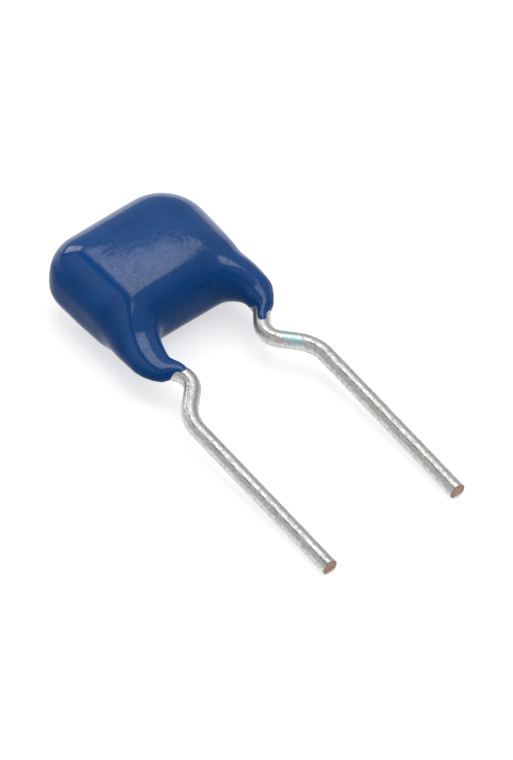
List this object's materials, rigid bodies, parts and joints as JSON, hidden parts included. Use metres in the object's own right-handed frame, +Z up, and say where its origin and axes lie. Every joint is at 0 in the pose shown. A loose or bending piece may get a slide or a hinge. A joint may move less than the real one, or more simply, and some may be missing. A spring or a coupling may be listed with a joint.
{
  "type": "radial ceramic capacitor",
  "caption": "Dipped multilayer ceramic capacitor: a rounded blue epoxy block with coating run down two crimped tinned wire leads, lying on its back.",
  "frame": {"origin": "middle of the underside of the bounding box, as the part rests", "axes": "+Y from the cut ends of the leads towards the top of the body, level with the ground; +Z up, out of the front of the body; +X across the two leads, to the right"},
  "size_m": [0.0056, 0.0146, 0.0032],
  "materials": {
    "epoxy_coating": "glossy dipped epoxy",
    "tinned_wire": "satin tin plating over steel wire",
    "fired_ceramic": "fired, matt",
    "end_cap_metal": "fired metal end cap",
    "solder": "dull solder"
  },
  "bodies": {
    "root": {"dipped_coating": "epoxy_coating", "lead_left": "tinned_wire", "lead_right": "tinned_wire", "ceramic_chip": "fired_ceramic", "termination_left": "end_cap_metal", "termination_right": "end_cap_metal", "solder_joint_left": "solder", "solder_joint_right": "solder"}
  },
  "joints": []
}
